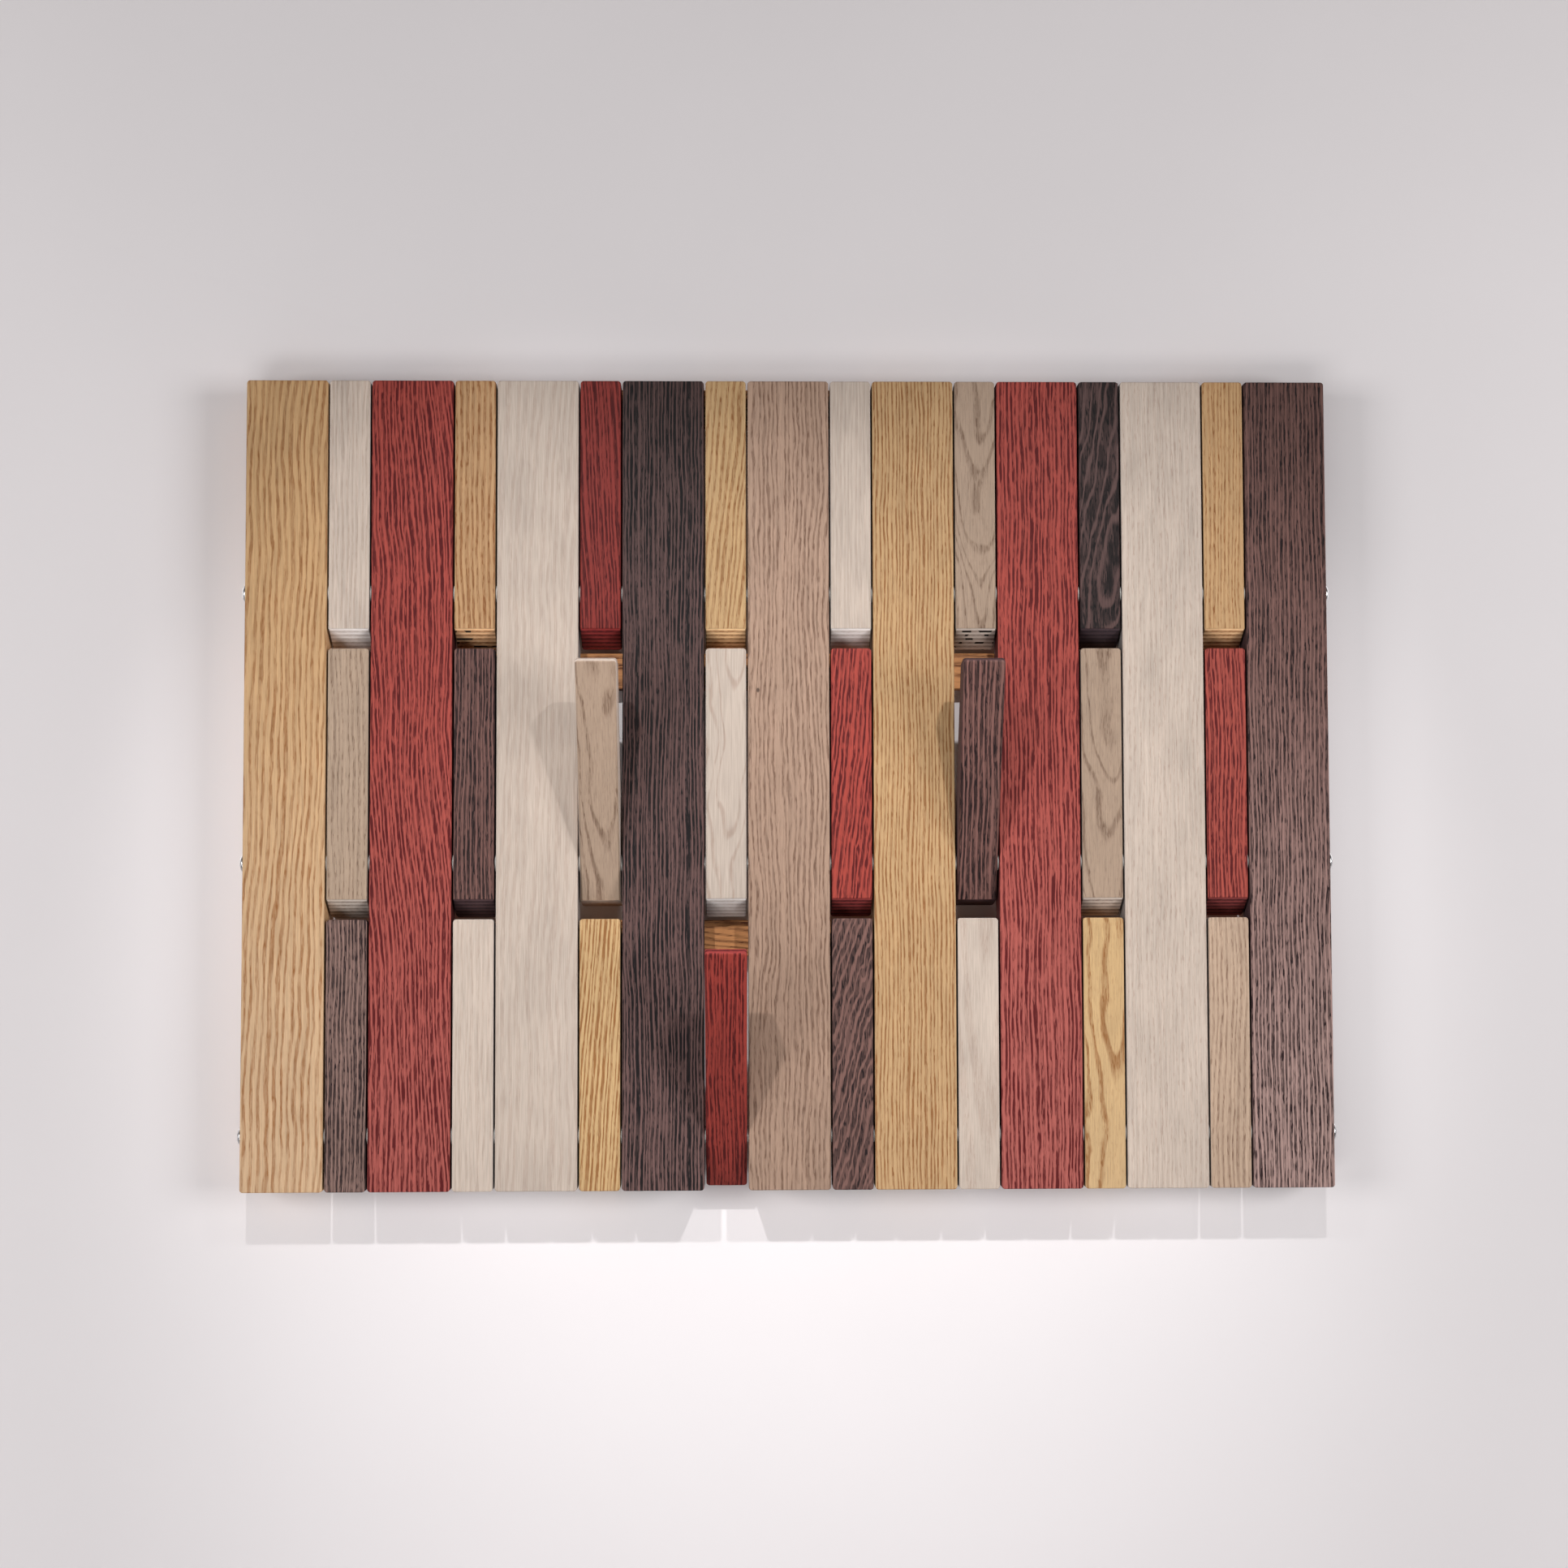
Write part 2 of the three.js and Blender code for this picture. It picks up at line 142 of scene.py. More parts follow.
# Stains, as they look in plain light: a face between its dark streaks, the streaks themselves,
# and the lighter and the darker plies on a cut edge
STAIN_PARTS = ("light", "dark", "ply", "deep")
STAINS = {
    "natural": ((199, 160, 115), (146, 96, 54), (250, 204, 154), (156, 102, 62)),
    "red": ((167, 68, 57), (86, 13, 15), (148, 62, 60), (62, 18, 22)),
    "cream": ((195, 179, 166), (172, 150, 136), (248, 240, 236), (204, 190, 182)),
    "espresso": ((114, 87, 83), (16, 8, 11), (70, 58, 62), (44, 36, 41)),
    "taupe": ((168, 144, 124), (118, 93, 76), (222, 206, 194), (150, 130, 118)),
    "umber": ((128, 96, 88), (28, 13, 15), (84, 66, 68), (44, 33, 37)),
    "rail": ((190, 132, 84), (96, 52, 28), (190, 132, 84), (96, 52, 28)),
}

# How much of each growth ring its dark line takes, and how far the line breaks up
RING_DUTIES = {
    "natural": 0.62, "red": 0.76, "cream": 0.66, "espresso": 0.84,
    "taupe": 0.6, "umber": 0.84, "rail": 0.6,
}
RING_BREAKS = {
    "natural": 0.5, "red": 0.75, "cream": 0.6, "espresso": 0.5,
    "taupe": 0.6, "umber": 0.5, "rail": 0.5,
}

# How the growth rings run across a face, in millimetres
FIGURES = {
    "straight": {"spacing": 2.8, "centre": -160, "flat": 20, "taper": 0.0, "sway": 4, "wobble": 1.0},
    "fine": {"spacing": 2.2, "centre": 190, "flat": 20, "taper": 0.0, "sway": 3, "wobble": 0.7},
    "leaning": {"spacing": 2.9, "centre": 26, "flat": 14, "taper": 0.1, "sway": 7, "wobble": 1.0},
    "broad": {"spacing": 4.6, "centre": 120, "flat": 20, "taper": -0.03, "sway": 7, "wobble": 1.5},
    "contour": {"spacing": 4.5, "centre": 3, "flat": 12, "taper": 0.05, "sway": 8, "wobble": 1.8},
}


# A board's look before its own changes. A knot this far off isn't on the board.
PLAIN_LOOK = {
    "tone": 1, "warm": 0, "streak": 0.9, "pores": 0.5, "lean": 0, "islands": 1.5, "mottle": 0.1,
    "fade": 0, "bloom": 0, "voids": 0, "knot_x": 1000, "knot_z": 0,
}


def look(stain, figure, **changes):
    """One board's stain and figure, with what sets it apart from the others."""
    rings = {"duty": RING_DUTIES[stain], "broken": RING_BREAKS[stain]}
    return {"stain": stain, **PLAIN_LOOK, **rings, **FIGURES[figure], **changes}


SLAT_LOOKS = [
    look("natural", "broad", spacing=3.6, streak=0.75, pores=0.25, bloom=0.18, tone=0.92, fade=-0.03),
    look("red", "straight", spacing=2.4, streak=1, lean=0.05, sway=7, bloom=0.07, tone=0.84, fade=-0.03),
    look("cream", "broad", streak=0.4, pores=0.15, mottle=0.16, tone=0.82, fade=-0.01),
    look("espresso", "fine", bloom=0.02, fade=-0.17, tone=0.58, warm=0.05, streak=1),
    look("taupe", "straight", sway=9, wobble=1.8, streak=0.75, tone=0.78, warm=0.04, knot_x=-17, knot_z=51),
    look("natural", "fine", streak=0.85, bloom=0.03, tone=0.75, warm=-0.01, fade=-0.04),
    look("red", "straight", spacing=2.4, streak=1, bloom=0.1, tone=0.84, fade=-0.04),
    look("cream", "straight", streak=0.3, pores=0.45, mottle=0.16, tone=0.90, fade=-0.02),
    look("umber", "fine", streak=0.8, bloom=0.2, fade=-0.18, tone=0.98, warm=0.06),
]
KEY_LOOKS = {
    "top": [
        look("cream", "straight", streak=0.5, pores=0.25, mottle=0.2, tone=0.94),
        look("natural", "straight", streak=0.75, voids=1, tone=0.71, warm=0.02),
        look("red", "fine", lean=0.05, tone=0.42, warm=0.17),
        look("natural", "leaning", streak=0.7, centre=-40, taper=0.1, tone=0.71, warm=-0.02),
        look("cream", "fine", streak=0.3, pores=0.15, mottle=0.2, tone=0.78),
        look(
            "taupe", "contour", voids=1, streak=0.6, spacing=3.2, taper=0.12, islands=6, duty=0.45,
            tone=0.77,
        ),
        look("espresso", "contour", lean=-0.25, islands=6, wobble=2.4, duty=0.9, tone=0.46, warm=0.05),
        look("natural", "fine", streak=0.55, tone=0.82),
    ],
    "mid": [
        look("taupe", "straight", streak=0.5, warm=-0.01, tone=0.97),
        look("umber", "fine", tone=0.66, warm=0.07),
        look("taupe", "contour", streak=0.8, islands=8, duty=0.4, tone=0.86),
        look("cream", "contour", streak=0.8, pores=0.15, spacing=4, islands=8, duty=0.4, tone=0.75),
        look("red", "straight", spacing=2.3, streak=1, lean=-0.1, wobble=1.6, tone=0.77, warm=0.02),
        look("umber", "straight", tone=0.77, warm=0.08),
        look("taupe", "contour", streak=0.7, taper=0.1, islands=6, duty=0.42, tone=0.84),
        look("red", "fine", streak=1, wobble=0.9, warm=-0.09, tone=0.98),
    ],
    "low": [
        look("umber", "fine", tone=1.19, warm=-0.05),
        look("cream", "straight", streak=0.35, pores=0.2, tone=0.92),
        look("natural", "fine", lean=-0.08, streak=1, warm=-0.03, tone=0.90),
        look("red", "fine", tone=0.57, warm=0.1, streak=1, fade=0.15, mottle=0.25),
        look(
            "umber", "straight", lean=-0.28, wobble=3, islands=3, spacing=3.4, tone=0.76, warm=0.03,
            streak=0.75,
        ),
        look("cream", "contour", streak=0.4, pores=0.3, mottle=0.2, tone=0.87),
        look(
            "natural", "contour", streak=0.85, lean=-0.05, islands=6, duty=0.5, tone=0.91, warm=-0.03,
            bloom=0.12,
        ),
        look("taupe", "straight", streak=0.6, tone=1.19),
    ],
}
RAIL_LOOK = look("rail", "straight", streak=0.65, sway=6, islands=2, mottle=0.3)

# Each board's own seed is its number added to its row's. Rims are rubbed pale this far.
SLAT_SEED = 0
KEY_SEEDS = {"top": 10, "mid": 20, "low": 30}
RAIL_SEED = 40
SLAT_RUB = 0.15
KEY_RUB = 0.35

# The noise behind the grain: its patches' width and length in millimetres, and its detail
OAK_NOISE = {
    "sway": (60, 110, 1), "wobble": (5, 20, 2), "islands": (20, 55, 1), "strength": (5, 36, 1),
    "dashes": (1.2, 10, 2), "pores": (0.6, 5, 1), "fibre": (0.6, 16, 1), "patches": (16, 45, 2),
}

# How a ring's dark line comes and goes, in shares of the ring, and how uneven the rings are
RING_RISE = 0.14
RING_FALL = 0.2
RING_UNEVENNESS = 1.6

# Where the noise begins to count and where it counts in full, and how weak a line may become
STRENGTH_RANGE = (0.3, 0.6)
DASH_RANGE = (0.38, 0.52)
PORE_RANGE = (0.54, 0.64)
WEAKEST_LINE = 0.55
PORES_BETWEEN_LINES = 0.4

# The painted sheen that greys the feet, the knot and the voids. Lengths are in millimetres and stretches
# are along the grain.
PAINTED_SHEEN_GREY = (206, 196, 190)
PAINTED_SHEEN_START, PAINTED_SHEEN_END = -220, 150
KNOT_BROWN = (0.03, 0.015, 0.01, 1)
KNOT_RADIUS, KNOT_FADE = 0.5, 1.2
KNOT_STRETCH = 0.7
KNOT_STRENGTH = 0.8
VOID_BROWN = (0.012, 0.008, 0.006, 1)
VOID_RANGE = (0.62, 0.64)

# The plies: how thick the glue is in shares of a ply, how far crosswise plies, their grain and the glue
# go to the deep colour, and how much painted shade darkens a board's inner sides, which face the gaps
# between boards. Layers count on from an even number.
GLUE_SHARE = 0.1
CROSS_DEEP = 0.72
GRAIN_DEEP = 0.16
GLUE_DEEP = 0.35
PAINTED_GAP_SHADE = 0.7
FIRST_LAYER = 20

# Half a width in metres that no board reaches, so that its sides get no painted gap shade
NO_SIDES = 1.0

# Oak's roughness and relief, with each form's height in shares of the relief
FIBRE_HEIGHT = 0.12
LINE_HEIGHT = 0.6
GLUE_HEIGHT = 0.3
VOID_HEIGHT = 2
FACE_ROUGHNESS = 0.5
LINE_ROUGHNESS = 0.22
PLY_ROUGHNESS = 0.72
OAK_BUMP = 0.6
OAK_RELIEF = 0.12 * MM
OAK_GLOSS = 0.25

# Metal, nylon and paint: patches of their noise for each metre, the tones that it gives, roughness,
# relief and gloss
CLOUD_RANGE = (0.3, 0.7)
METAL_TONES = (0.86, 1.06)
NYLON_TONES = (0.92, 1.02)
PAINT_TONES = (0.985, 1.015)
BRUSH_ALONG = 300
BRUSH_ACROSS = 9000
BRUSH_ROUGHNESS = 0.12
BRUSH_BUMP = 0.25
BRUSH_RELIEF = 0.02 * MM
SMUDGES = 160
SMUDGE_ROUGHNESS = 0.16
STEEL_ROUGHNESS = 0.28
ZINC_ROUGHNESS = 0.36
NYLON_CLOUDS = 700
NYLON_ROUGHNESS = 0.4
NYLON_UNEVENNESS = 0.15
PAINT_CLOUDS = 3
PAINT_ROUGHNESS = 0.85
PAINT_GLOSS = 0.2


# Node building

class Signal:
    """A node socket that takes part in plain arithmetic."""

    def __init__(self, graph, socket):
        self.graph = graph
        self.socket = socket

    def __add__(self, other):
        return self.graph.maths("ADD", self, other)

    def __sub__(self, other):
        return self.graph.maths("SUBTRACT", self, other)

    def __rsub__(self, other):
        return self.graph.maths("SUBTRACT", other, self)

    def __mul__(self, other):
        return self.graph.maths("MULTIPLY", self, other)

    def __truediv__(self, other):
        return self.graph.maths("DIVIDE", self, other)

    __radd__ = __add__
    __rmul__ = __mul__


class Graph:
    """Short calls that add nodes to one tree and join them."""

    def __init__(self, tree):
        self.tree = tree

    def add(self, kind, **settings):
        node = self.tree.nodes.new("ShaderNode" + kind)
        for key, value in settings.items():
            setattr(node, key, value)
        return node

    def feed(self, socket, value):
        if isinstance(value, Signal):
            value = value.socket
        if isinstance(value, bpy.types.NodeSocket):
            self.tree.links.new(value, socket)
        else:
            socket.default_value = value

    def maths(self, operation, *values, clamp=False):
        node = self.add("Math", operation=operation, use_clamp=clamp)
        for socket, value in zip(node.inputs, values):
            self.feed(socket, value)
        return Signal(self, node.outputs[0])

    def object_place(self):
        """A point's place in its own object, in metres."""
        return self.add("TexCoord").outputs["Object"]

    def join(self, x, y, z):
        node = self.add("CombineXYZ")
        for socket, value in zip(node.inputs, (x, y, z)):
            self.feed(socket, value)
        return node.outputs[0]

    def split(self, vector):
        node = self.add("SeparateXYZ")
        self.feed(node.inputs[0], vector)
        return [Signal(self, socket) for socket in node.outputs]

    def noise(self, vector, detail=1.0):
        node = self.add("TexNoise", noise_dimensions="3D")
        self.feed(node.inputs["Vector"], vector)
        node.inputs["Scale"].default_value = 1
        node.inputs["Detail"].default_value = detail
        return Signal(self, node.outputs[0])

    def smooth(self, value, low, high, to_low=0.0, to_high=1.0):
        node = self.add("MapRange", interpolation_type="SMOOTHSTEP")
        for socket, part in zip(node.inputs, (value, low, high, to_low, to_high)):
            self.feed(socket, part)
        return Signal(self, node.outputs[0])

    def mix(self, factor, first, second):
        node = self.add("Mix", data_type="RGBA")
        self.feed(node.inputs[0], factor)
        self.feed(node.inputs[6], first)
        self.feed(node.inputs[7], second)
        return node.outputs[2]

    def shade(self, colour, amount):
        """A colour or a place times a plain number."""
        node = self.add("VectorMath", operation="SCALE")
        self.feed(node.inputs[0], colour)
        self.feed(node.inputs["Scale"], amount)
        return node.outputs[0]


def share(factor, first, second):
    """A number that goes from the first to the second as the factor goes from 0 to 1."""
    return first + (second - first) * factor


def linear(rgb):
    """An sRGB colour of 0 to 255 as Blender's linear one."""
    parts = [value / 255 for value in rgb]
    curved = [part / 12.92 if part <= 0.04045 else ((part + 0.055) / 1.055) ** 2.4 for part in parts]
    return curved + [1.0]


def group_tree(name, inputs, outputs):
    """A node group with named sockets, and a Graph to fill it."""
    tree = bpy.data.node_groups.new(name, "ShaderNodeTree")
    for socket, kind in inputs:
        tree.interface.new_socket(socket, in_out="INPUT", socket_type="NodeSocket" + kind)
    for socket, kind in outputs:
        tree.interface.new_socket(socket, in_out="OUTPUT", socket_type="NodeSocket" + kind)
    graph = Graph(tree)
    taken = tree.nodes.new("NodeGroupInput")
    given = tree.nodes.new("NodeGroupOutput")
    return graph, {socket: Signal(graph, taken.outputs[socket]) for socket, _ in inputs}, given.inputs


# Oak

OAK_INPUTS = [("place", "Vector")] + [(part, "Color") for part in STAIN_PARTS]
OAK_NUMBERS = (
    "spacing", "duty", "broken", "streak", "pores", "sway", "wobble", "islands", "centre", "flat", "taper",
    "lean", "mottle", "fade", "bloom", "voids", "rub", "tone", "seed", "knot_x", "knot_z",
    "front", "back", "half", "solid",
)
OAK_OUTPUTS = [("Color", "Color"), ("Roughness", "Float"), ("Height", "Float")]


class OakDrawing:
    """Open-pored oak. Place is in millimetres: across the grain, into the board and along the grain.
    On a veneered board the outer skin shows the ring figure and the rest shows plies."""

    def __init__(self):
        inputs = OAK_INPUTS + [(name, "Float") for name in OAK_NUMBERS]
        self.graph, self.given, self.out = group_tree("oak", inputs, OAK_OUTPUTS)
        self.across, self.into, self.along = self.graph.split(self.given["place"])
        self.depth = self.into - self.given["front"]

    def noise(self, name):
        """One field of the grain's noise, moved by its place in the table so that no two are alike."""
        wide, long, detail = OAK_NOISE[name]
        shift = 1 + list(OAK_NOISE).index(name)
        seed = self.given["seed"]
        x = self.across / wide + (seed * 7.31 + shift)
        y = seed * 3.7 + shift * 1.7
        z = self.along / long + (seed * 5.13 + shift)
        return self.graph.noise(self.graph.join(x, y, z), detail)

    def swing(self, name):
        """A noise field that swings both ways by the look's number of the same name."""
        return (self.noise(name) - 0.5) * 2 * self.given[name]

    def ring_line(self):
        """1 in the middle of a growth ring's dark line and 0 between the lines."""
        graph, given = self.graph, self.given
        lean = self.across + self.along * given["lean"]
        offset = lean + self.swing("sway") + self.swing("wobble") - given["centre"]
        reach = graph.maths("SQRT", offset * offset + given["flat"] * given["flat"])
        rings = (reach - self.along * given["taper"] + self.swing("islands")) / given["spacing"]
        uneven = graph.noise(graph.join(rings * 0.5, given["seed"] * 9.1, 4.0), 1.0)
        phase = graph.maths("FRACT", rings + uneven * RING_UNEVENNESS)
        fall = graph.smooth(phase, given["duty"] - RING_FALL, given["duty"], 1, 0)
        return graph.smooth(phase, 0, RING_RISE) * fall

    def darkness(self):
        """How far the broken dark lines and the pores take a face to its dark colour."""
        graph, given = self.graph, self.given
        line = self.ring_line()
        strength = graph.smooth(self.noise("strength"), *STRENGTH_RANGE, WEAKEST_LINE, 1)
        dashes = graph.smooth(self.noise("dashes"), *DASH_RANGE, 1 - given["broken"], 1)
        pores = graph.smooth(self.noise("pores"), *PORE_RANGE)
        band = line * strength * dashes
        pitted = pores * given["pores"] * share(line, PORES_BETWEEN_LINES, 1)
        return graph.maths("ADD", band * given["streak"], pitted, clamp=True)

    def veneer(self, darkness, fibre):
        """A face's colour, with its painted sheen toward the foot, its painted light slope along its
        length, its uneven tone and its knot.
        """
        graph, given, along = self.graph, self.given, self.along
        uneven = fibre * 0.5 + (self.noise("patches") - 0.5) * 2 * given["mottle"]
        # Painted light: the tone slopes along the face, lighter or darker toward the foot, in place of
        # light that changes there.
        tone = (1 + uneven + along * given["fade"] * 0.01) * given["tone"]
        # Painted sheen: the open face between the dark lines pales to a grey toward the foot, in place of a
        # glancing reflection.
        bloom = graph.smooth(along, PAINTED_SHEEN_START, PAINTED_SHEEN_END, 1, 0) * given["bloom"]
        pale = graph.mix(bloom, given["light"], linear(PAINTED_SHEEN_GREY))
        colour = graph.shade(graph.mix(darkness, pale, given["dark"]), tone)
        from_knot = graph.add("VectorMath", operation="LENGTH")
        gap = graph.join(self.across - given["knot_x"], 0.0, (along - given["knot_z"]) * KNOT_STRETCH)
        graph.feed(from_knot.inputs[0], gap)
        distance = Signal(graph, from_knot.outputs["Value"])
        knot = graph.smooth(distance, KNOT_RADIUS, KNOT_FADE, 1, 0)
        return graph.mix(knot * KNOT_STRENGTH, colour, KNOT_BROWN)

    def plies(self):
        """The colour of a cut edge, with painted shade on inner sides that face the gaps between boards,
        and where its glue and its voids lie.
        """
        graph, given, across, along = self.graph, self.given, self.across, self.along
        layers = (self.depth - VENEER / MM) / (PLY / MM)
        layer = graph.maths("FLOOR", layers)
        inside = graph.maths("FRACT", layers)
        cross = graph.maths("MODULO", layer + FIRST_LAYER, 2)
        glue_front = graph.smooth(inside, 0, GLUE_SHARE, 1, 0)
        glue = graph.maths("MAXIMUM", glue_front, graph.smooth(inside, 1 - GLUE_SHARE, 1))
        grain = graph.noise(graph.join(across * 0.5 + given["seed"], layers * 2.3, along * 0.5), 2.0)
        fill = graph.smooth(grain, 0.35, 0.65, -GRAIN_DEEP, GRAIN_DEEP)
        deep = graph.maths("ADD", cross * CROSS_DEEP + fill, glue * GLUE_DEEP, clamp=True)
        half = given["half"]
        # Painted shade: the inner sides, which face the narrow gaps between boards, are darkened as if in
        # shadow.
        side = graph.smooth(graph.maths("ABSOLUTE", across), half - 0.5, half - 0.2)
        hole = graph.noise(graph.join(across * 0.17 + given["seed"] * 1.9, layer * 5.3, along * 0.17), 0.0)
        gap = graph.smooth(hole, *VOID_RANGE) * given["voids"] * cross * (1 - side)
        colour = graph.mix(gap, graph.mix(deep, given["ply"], given["deep"]), VOID_BROWN)
        return graph.shade(colour, 1 - side * PAINTED_GAP_SHADE), glue, gap

    def skin(self):
        """Where the veneer lies, and where it rounds over a rim at the front."""
        graph, given = self.graph, self.given
        start, end = VENEER / MM - 0.05, VENEER / MM + 0.05
        front = graph.smooth(self.depth, start, end, 1, 0)
        back = graph.smooth(given["back"] - self.into, start, end, 1, 0)
        skin = graph.maths("MAXIMUM", graph.maths("MAXIMUM", front, back), given["solid"])
        rim = graph.smooth(self.depth, 0.04, 0.5) * front * (1 - given["solid"])
        return skin, rim

    def draw(self):
        """Joins the parts to the group's outputs."""
        graph = self.graph
        darkness = self.darkness()
        fibre = self.noise("fibre") - 0.5
        plies, glue, gap = self.plies()
        skin, rim = self.skin()
        worn = graph.mix(rim * self.given["rub"], self.veneer(darkness, fibre), self.given["ply"])
        roughness = share(skin, PLY_ROUGHNESS, FACE_ROUGHNESS + darkness * LINE_ROUGHNESS)
        face = fibre * FIBRE_HEIGHT - darkness * LINE_HEIGHT
        height = skin * face - (1 - skin) * (glue * GLUE_HEIGHT + gap * VOID_HEIGHT)
        graph.feed(self.out["Color"], graph.mix(skin, plies, worn))
        graph.feed(self.out["Roughness"], roughness)
        graph.feed(self.out["Height"], height)
        return graph.tree


oak = OakDrawing().draw()


def new_material(name):
    material = bpy.data.materials.new(name)
    material.use_nodes = True
    graph = Graph(material.node_tree)
    shader = material.node_tree.nodes["Principled BSDF"]
    return material, graph, shader


def add_bump(graph, shader, height, strength, depth):
    bump = graph.add("Bump")
    bump.inputs["Strength"].default_value = strength
    bump.inputs["Distance"].default_value = depth
    graph.feed(bump.inputs["Height"], height)
    graph.feed(shader.inputs["Normal"], bump.outputs["Normal"])


def oak_material(name, values, seed, rub, front, back, half=NO_SIDES, tilt=0.0, along_x=False):
    """A board's look, fitted to it. Front and back are its faces' places before it is tilted about X,
    and half is half its width, where its inner sides stand and take painted gap shade.
    Wood along X is solid and has no plies."""
    material, graph, shader = new_material(name)
    place = graph.shade(graph.object_place(), 1 / MM)
    if tilt:
        upright = graph.add("VectorRotate", rotation_type="X_AXIS")
        graph.feed(upright.inputs["Vector"], place)
        upright.inputs["Angle"].default_value = -tilt
        place = upright.outputs[0]
    if along_x:
        x, y, z = graph.split(place)
        place = graph.join(z, y, x)
    wood = graph.add("Group", node_tree=oak)
    graph.feed(wood.inputs["place"], place)
    warm = values["warm"]
    tint = (1 + warm, 1 - warm, 1 - warm, 1)
    for part, rgb in zip(STAIN_PARTS, STAINS[values["stain"]]):
        wood.inputs[part].default_value = [level * gain for level, gain in zip(linear(rgb), tint)]
    fitted = {"front": front / MM, "back": back / MM, "half": half / MM, "solid": 1.0 if along_x else 0.0}
    numbers = {**values, **fitted, "seed": seed, "rub": rub}
    for number in OAK_NUMBERS:
        wood.inputs[number].default_value = numbers[number]
    graph.feed(shader.inputs["Base Color"], wood.outputs["Color"])
    graph.feed(shader.inputs["Roughness"], wood.outputs["Roughness"])
    shader.inputs["Specular IOR Level"].default_value = OAK_GLOSS
    add_bump(graph, shader, wood.outputs["Height"], OAK_BUMP, OAK_RELIEF)
    return material


def metal_material(name, colour, roughness, scratch_along):
    """Bright metal with fine lines drawn out along one axis."""
    material, graph, shader = new_material(name)
    place = graph.object_place()
    stretch = graph.add("VectorMath", operation="MULTIPLY")
    graph.feed(stretch.inputs[0], place)
    finest = [BRUSH_ALONG if axis == scratch_along else BRUSH_ACROSS for axis in range(3)]
    stretch.inputs[1].default_value = finest
    lines = graph.noise(stretch.outputs[0], 3.0)
    smudges = graph.noise(graph.shade(place, SMUDGES), 2.0)
    smooth_metal = roughness - (BRUSH_ROUGHNESS + SMUDGE_ROUGHNESS) / 2
    shine = lines * BRUSH_ROUGHNESS + smudges * SMUDGE_ROUGHNESS + smooth_metal
    tone = graph.smooth(smudges, *CLOUD_RANGE, *METAL_TONES)
    graph.feed(shader.inputs["Base Color"], graph.shade(colour, tone))
    graph.feed(shader.inputs["Roughness"], shine)
    shader.inputs["Metallic"].default_value = 1.0
    add_bump(graph, shader, lines, BRUSH_BUMP, BRUSH_RELIEF)
    return material


def nylon_material():
    """Off-white nylon, slightly cloudy."""
    material, graph, shader = new_material("nylon")
    clouds = graph.noise(graph.shade(graph.object_place(), NYLON_CLOUDS), 3.0)
    tone = graph.smooth(clouds, *CLOUD_RANGE, *NYLON_TONES)
    graph.feed(shader.inputs["Base Color"], graph.shade(NYLON, tone))
    graph.feed(shader.inputs["Roughness"], clouds * NYLON_UNEVENNESS + NYLON_ROUGHNESS)
    return material


# Mesh building

def mesh_of(bm, name):
    """The built form as a mesh, its faces turned outwards."""
    bmesh.ops.recalc_face_normals(bm, faces=bm.faces)
    mesh = bpy.data.meshes.new(name)
    bm.to_mesh(mesh)
    bm.free()
    return mesh


def rounded_outline(width, low, high, radius, inset):
    """Points (x, z) round a rectangle with round corners, drawn in by the inset."""
    points = []
    half = width / 2 - radius
    corners = ((half, high - radius), (-half, high - radius), (-half, low + radius), (half, low + radius))
    for quarter, (x, z) in enumerate(corners):
        for step in range(CORNER_STEPS + 1):
            angle = (quarter + step / CORNER_STEPS) * math.pi / 2
            points.append((x + (radius - inset) * math.cos(angle), z + (radius - inset) * math.sin(angle)))
    return points


def eased_depths(front, back, easing):
    """Pairs of depth and inset that round both rims of a board."""
    rows = []
    for step in range(EASING_STEPS + 1):
        angle = math.pi / 2 * (1 - step / EASING_STEPS)
        rows.append((front + easing * (1 - math.sin(angle)), easing * (1 - math.cos(angle))))
    return rows + [(front + back - y, inset) for y, inset in reversed(rows)]


def board(width, low, high, front, back, radius=CORNER_RADIUS, easing=EDGE_EASING):
    """A board that stands in the XZ plane, with round corners and rounded rims."""
    bm = bmesh.new()
    rings = []
    for y, inset in eased_depths(front, back, easing):
        outline = rounded_outline(width, low, high, radius, inset)
        rings.append([bm.verts.new((x, y, z)) for x, z in outline])
    count = len(rings[0])
    for row, (near, far) in enumerate(zip(rings, rings[1:])):
        on_rim = row != EASING_STEPS
        for index in range(count):
            after = (index + 1) % count
            face = bm.faces.new((near[index], near[after], far[after], far[index]))
            on_corner = index % (CORNER_STEPS + 1) != CORNER_STEPS
            face.smooth = on_rim or on_corner
    bm.faces.new(rings[0])
    bm.faces.new(rings[-1])
    return bm


def cut_away(bm, point, normal):
    """Removes what lies on the normal's side of a plane and closes the cut."""
    parts = bm.verts[:] + bm.edges[:] + bm.faces[:]
    made = bmesh.ops.bisect_plane(bm, geom=parts, plane_co=point, plane_no=normal, clear_outer=True)
    rim = [part for part in made["geom_cut"] if isinstance(part, bmesh.types.BMEdge)]
    bmesh.ops.contextual_create(bm, geom=rim)


def circle(bm, x, radius, sides):
    """Points round the X axis, or the one point on it where the radius is zero."""
    if radius == 0:
        return [bm.verts.new((x, 0, 0))]
    angles = [side / sides * math.tau for side in range(sides)]
    return [bm.verts.new((x, radius * math.cos(angle), radius * math.sin(angle))) for angle in angles]


def turned(profile, sides=ROUND_SIDES, closed=False):
    """A solid turned about X from (x, radius) points. They start and end on the axis, or close a ring."""
    bm = bmesh.new()
    circles = [circle(bm, x, radius, sides) for x, radius in profile]
    after_circles = circles[1:] + circles[:1] if closed else circles[1:]
    for near, far in zip(circles, after_circles):
        for index in range(sides):
            after = (index + 1) % sides
            corners = [near[index % len(near)], near[after % len(near)]]
            corners += [far[after % len(far)], far[index % len(far)]]
            face = bm.faces.new(list(dict.fromkeys(corners)))
            face.smooth = True
    return bm


